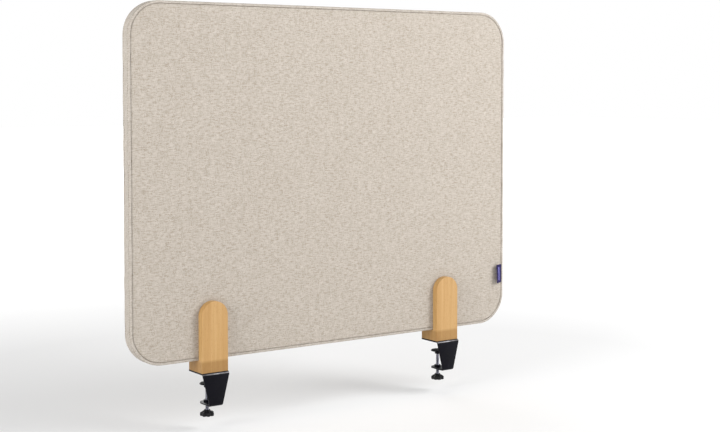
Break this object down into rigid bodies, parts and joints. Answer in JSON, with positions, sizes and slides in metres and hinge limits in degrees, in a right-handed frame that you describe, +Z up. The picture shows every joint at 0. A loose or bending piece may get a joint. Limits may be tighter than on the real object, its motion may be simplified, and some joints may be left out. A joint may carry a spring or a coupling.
{
  "type": "desk privacy panel",
  "caption": "Upholstered desk screen with rounded corners, standing in two round-topped wooden forks on black steel screw clamps.",
  "frame": {"origin": "on the desk's front edge, midway between the two clamps, at the height of the desk top that the clamps stand on", "axes": "+X along the panel, to the right as seen from the side of the clamps' front plates; +Y away from that side, over the desk; +Z up"},
  "size_m": [0.8, 0.05, 0.6995],
  "materials": {
    "face_fabric": "matte",
    "band_fabric": "matte",
    "tab_fabric": "matte",
    "wadding": "matte",
    "absorber": "matte",
    "plywood": "matte",
    "beech": "satin",
    "black_steel": "satin",
    "zinc_steel": "satin",
    "black_plastic": "satin",
    "black_rubber": "matte"
  },
  "bodies": {
    "feet": {"left_wood_fork": "beech", "left_clamp_frame": "black_steel", "left_desk_protector": "black_rubber", "left_clinch_nut": "black_steel", "left_fork_screw_1": "zinc_steel", "left_fork_screw_2": "zinc_steel", "right_wood_fork": "beech", "right_clamp_frame": "black_steel", "right_desk_protector": "black_rubber", "right_clinch_nut": "black_steel", "right_fork_screw_1": "zinc_steel", "right_fork_screw_2": "zinc_steel"},
    "panel": {"core_frame": "plywood", "absorber_slab": "absorber", "front_wadding": "wadding", "back_wadding": "wadding", "front_cover": "face_fabric", "back_cover": "face_fabric", "edge_band": "band_fabric", "seam_tab": "tab_fabric"},
    "left_pad": {"left_pressure_pad": "black_steel", "left_pad_facing": "black_rubber"},
    "left_screw": {"left_spindle": "zinc_steel", "left_star_knob": "black_plastic"},
    "right_pad": {"right_pressure_pad": "black_steel", "right_pad_facing": "black_rubber"},
    "right_screw": {"right_spindle": "zinc_steel", "right_star_knob": "black_plastic"}
  },
  "joints": [
    {"name": "panel_lift", "type": "slide", "parent": "feet", "child": "panel", "axis": [0, 0, 1], "range_m": [0, 0.11]},
    {"name": "left_pad_travel", "type": "slide", "parent": "feet", "child": "left_pad", "axis": [0, 0, 1], "range_m": [-0.02, 0.0105]},
    {"name": "left_screw_turn", "type": "hinge", "parent": "left_pad", "child": "left_screw", "pos_m": [-0.25, 0.03, -0.05], "axis": [0, 0, 1], "range_deg": [-7200, 3780]},
    {"name": "right_pad_travel", "type": "slide", "parent": "feet", "child": "right_pad", "axis": [0, 0, 1], "range_m": [-0.02, 0.0105]},
    {"name": "right_screw_turn", "type": "hinge", "parent": "right_pad", "child": "right_screw", "pos_m": [0.25, 0.03, -0.05], "axis": [0, 0, 1], "range_deg": [-7200, 3780]}
  ],
  "couplings": [
    {"joint": "left_screw_turn", "follows": "left_pad_travel", "rad_per_m": 6283.2},
    {"joint": "right_screw_turn", "follows": "right_pad_travel", "rad_per_m": 6283.2}
  ]
}
